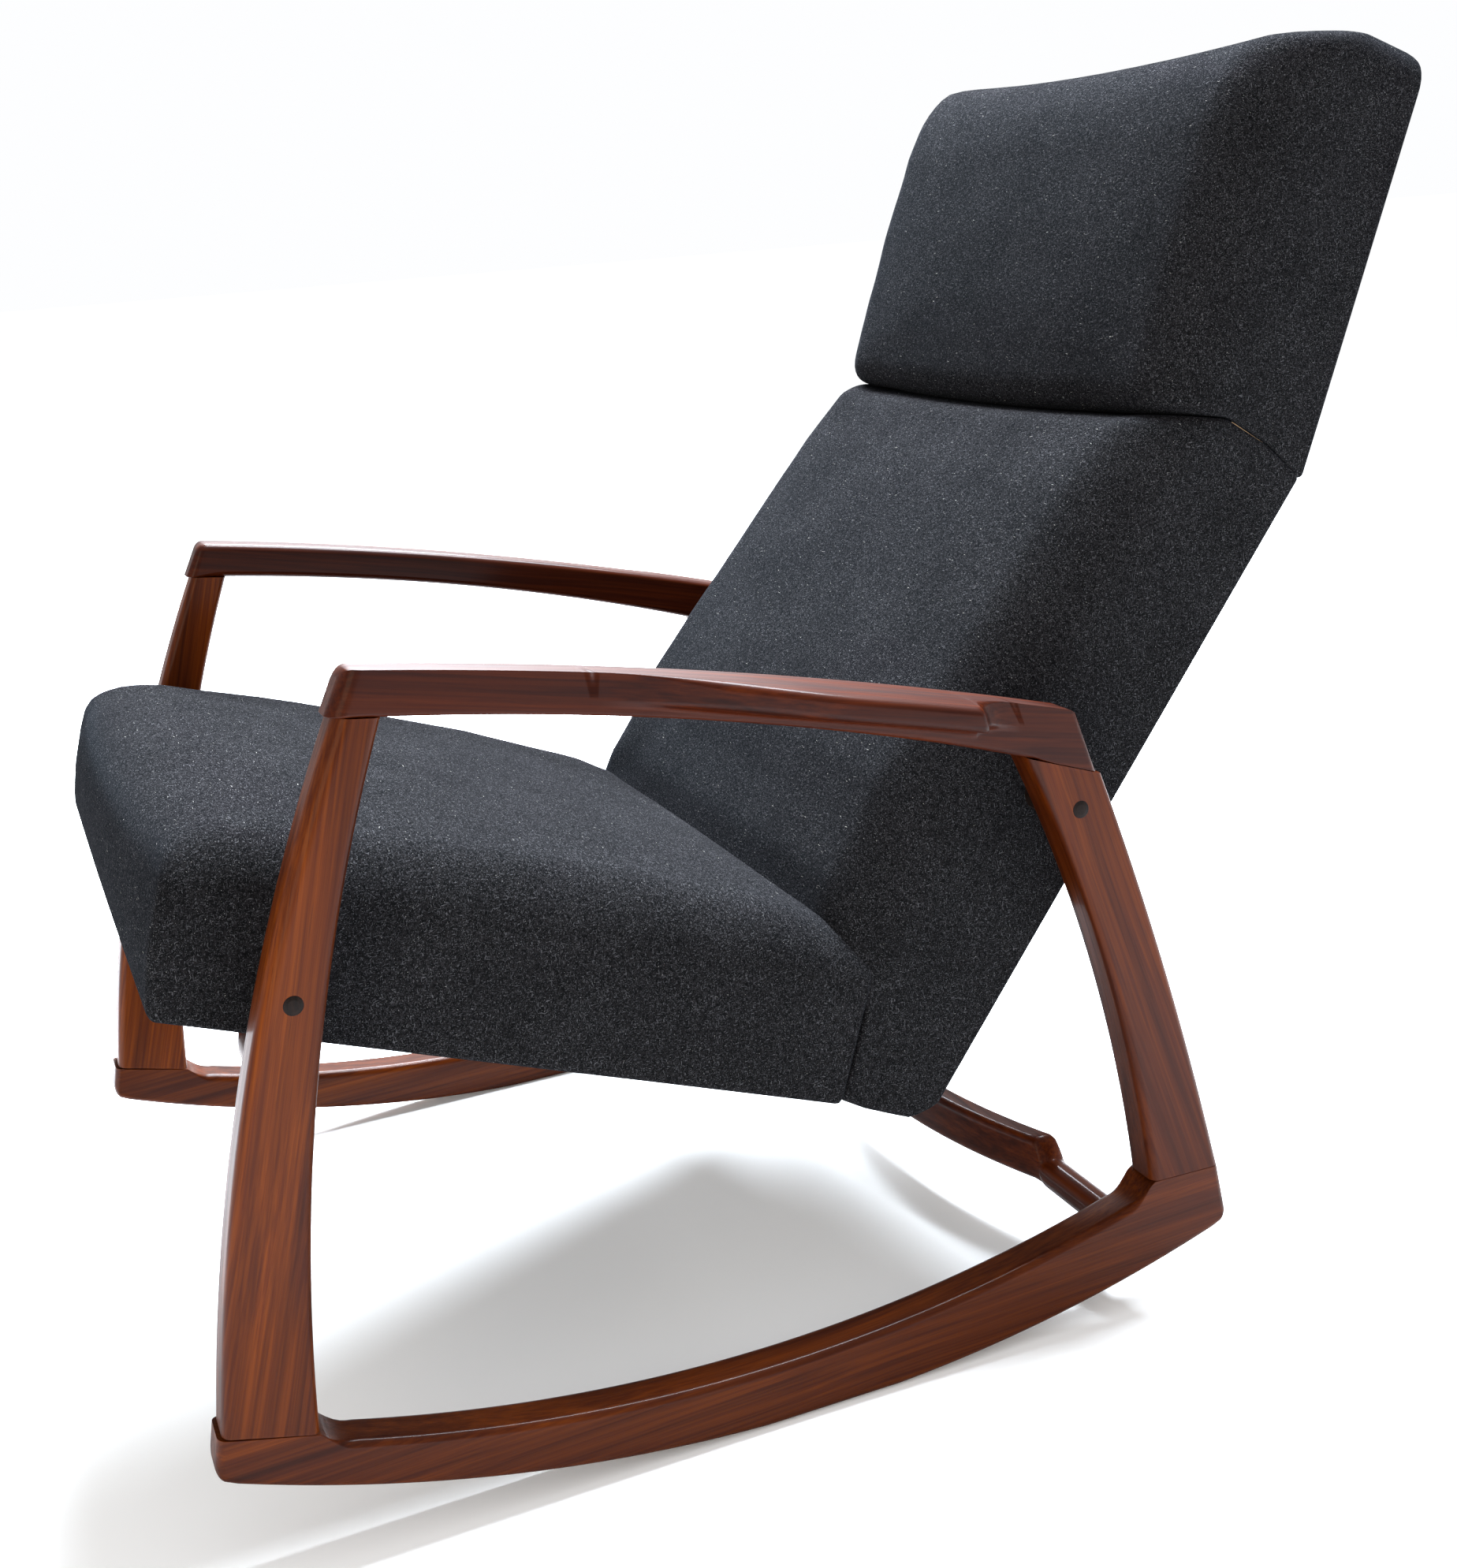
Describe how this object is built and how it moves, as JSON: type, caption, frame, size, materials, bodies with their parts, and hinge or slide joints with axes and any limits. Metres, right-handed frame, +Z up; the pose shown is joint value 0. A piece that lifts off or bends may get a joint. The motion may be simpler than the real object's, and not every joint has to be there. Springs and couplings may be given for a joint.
{
  "type": "upholstered rocking chair",
  "caption": "Rocking chair with two curved wooden side frames on runners, a sloping padded seat and a high padded back with a headrest.",
  "frame": {"origin": "on the floor, at the middle of the chair's width and of its front-to-back length", "axes": "+Z up, the sitter faces -Y, +X is the sitter's left, with the empty chair standing at rest on its runners"},
  "size_m": [0.736, 1.0268, 0.9453],
  "materials": {
    "teak": "satin lacquered red-brown hardwood with long streaky grain",
    "beech": "plain unfinished hardwood",
    "black_plug": "black stained wood, polished on the plugs",
    "steel": "zinc plated",
    "brass": "turned, untreated",
    "wool_felt": "thick charcoal wool felt over foam",
    "webbing": "woven elastic webbing",
    "lining": "plain black woven lining"
  },
  "bodies": {
    "root": {"armrest_left": "teak", "armrest_right": "teak", "back_cushion": "wool_felt", "back_panel": "lining", "back_rail_bottom": "beech", "back_rail_left": "beech", "back_rail_middle": "beech", "back_rail_right": "beech", "back_rail_top": "beech", "back_webbing_1": "webbing", "back_webbing_2": "webbing", "back_webbing_3": "webbing", "front_bolt_left": "steel", "front_bolt_right": "steel", "front_insert_left": "brass", "front_insert_right": "brass", "front_leg_left": "teak", "front_leg_right": "teak", "front_plug_left": "black_plug", "front_plug_right": "black_plug", "front_spacer_left": "black_plug", "front_spacer_right": "black_plug", "front_stretcher": "teak", "headrest_cushion": "wool_felt", "headrest_webbing_1": "webbing", "headrest_webbing_2": "webbing", "rear_bolt_left": "steel", "rear_bolt_right": "steel", "rear_insert_left": "brass", "rear_insert_right": "brass", "rear_leg_left": "teak", "rear_leg_right": "teak", "rear_plug_left": "black_plug", "rear_plug_right": "black_plug", "rear_spacer_left": "black_plug", "rear_spacer_right": "black_plug", "rear_stretcher": "teak", "rocker_left": "teak", "rocker_right": "teak", "seat_back_bolt_left": "steel", "seat_back_bolt_right": "steel", "seat_cushion": "wool_felt", "seat_dust_cloth": "lining", "seat_rail_front": "beech", "seat_rail_left": "beech", "seat_rail_rear": "beech", "seat_rail_right": "beech", "seat_webbing_1": "webbing", "seat_webbing_2": "webbing", "seat_webbing_3": "webbing", "seat_webbing_4": "webbing", "seat_webbing_5": "webbing", "tenon_front_arm_left": "beech", "tenon_front_arm_right": "beech", "tenon_front_foot_left": "beech", "tenon_front_foot_right": "beech", "tenon_rear_arm_left": "beech", "tenon_rear_arm_right": "beech", "tenon_rear_foot_left": "beech", "tenon_rear_foot_right": "beech"}
  },
  "joints": []
}
